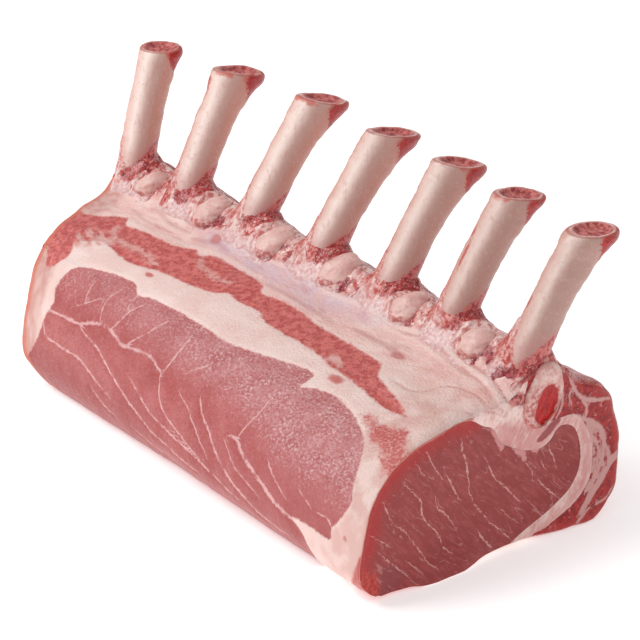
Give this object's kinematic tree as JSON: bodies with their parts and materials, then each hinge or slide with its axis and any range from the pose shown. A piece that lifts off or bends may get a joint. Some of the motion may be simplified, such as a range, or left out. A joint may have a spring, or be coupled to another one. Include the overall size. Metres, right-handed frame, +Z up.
{
  "type": "rack of pork loin ribs",
  "caption": "Raw frenched rack of pork loin: a long D-shaped loin under a fat layer, lying on its flat side, with bare rib bones rising from the ridge at its back",
  "frame": {"origin": "middle of the footprint, on the surface that the rack stands on", "axes": "+X along the loin to the clean near cut, +Y from the meaty front to the rib side, +Z up along the ribs"},
  "size_m": [0.2518, 0.123, 0.1156],
  "materials": {
    "lean_meat": "moist raw lean pork, satin wet sheen, fine grain with white marbling",
    "cap_meat": "moist darker lean meat, granular",
    "rib_meat": "moist red meat with pale fat strands and silver skin",
    "fat": "soft pinkish-white raw fat, satin",
    "bone": "scraped pinkish rib bone, smooth and moist, red marrow at the sawn tip"
  },
  "bodies": {
    "root": {"loin_eye": "lean_meat", "fat_layer": "fat", "cap_muscle": "cap_meat", "rib_meat": "rib_meat", "rib_1": "bone", "rib_2": "bone", "rib_3": "bone", "rib_4": "bone", "rib_5": "bone", "rib_6": "bone", "rib_7": "bone", "rib_cut_root": "bone", "fat_knob_1": "fat", "fat_knob_2": "fat", "fat_knob_3": "fat", "fat_knob_4": "fat", "fat_knob_5": "fat", "fat_knob_6": "fat"}
  },
  "joints": []
}
